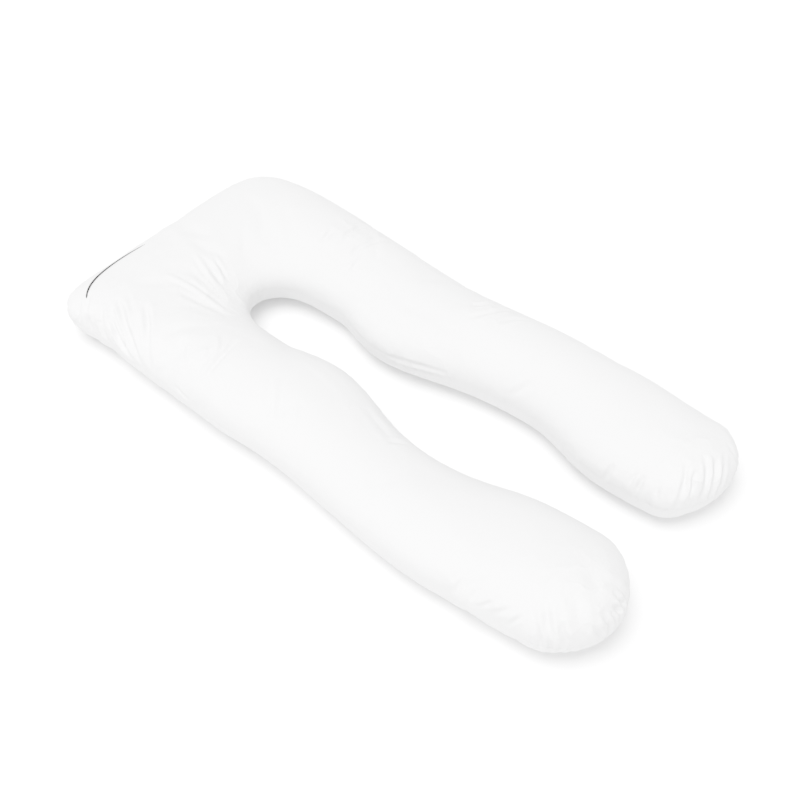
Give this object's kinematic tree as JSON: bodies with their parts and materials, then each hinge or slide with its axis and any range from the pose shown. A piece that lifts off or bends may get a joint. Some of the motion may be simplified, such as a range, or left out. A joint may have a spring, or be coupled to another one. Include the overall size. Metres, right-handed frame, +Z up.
{
  "type": "body pillow",
  "caption": "U-shaped full body pillow: a squared, filled head joins two long padded arms whose inner edges curve to leave room for the belly.",
  "frame": {"origin": "on the surface the pillow lies on, under the middle of its bounding box", "axes": "+Y along the pillow towards the head that joins the two arms, +Z up out of the surface, the two arms side by side along X"},
  "size_m": [0.7956, 1.6538, 0.185],
  "materials": {
    "cotton": "plain white woven cotton, soft satin sheen"
  },
  "bodies": {
    "root": {"pillow": "cotton"}
  },
  "joints": []
}
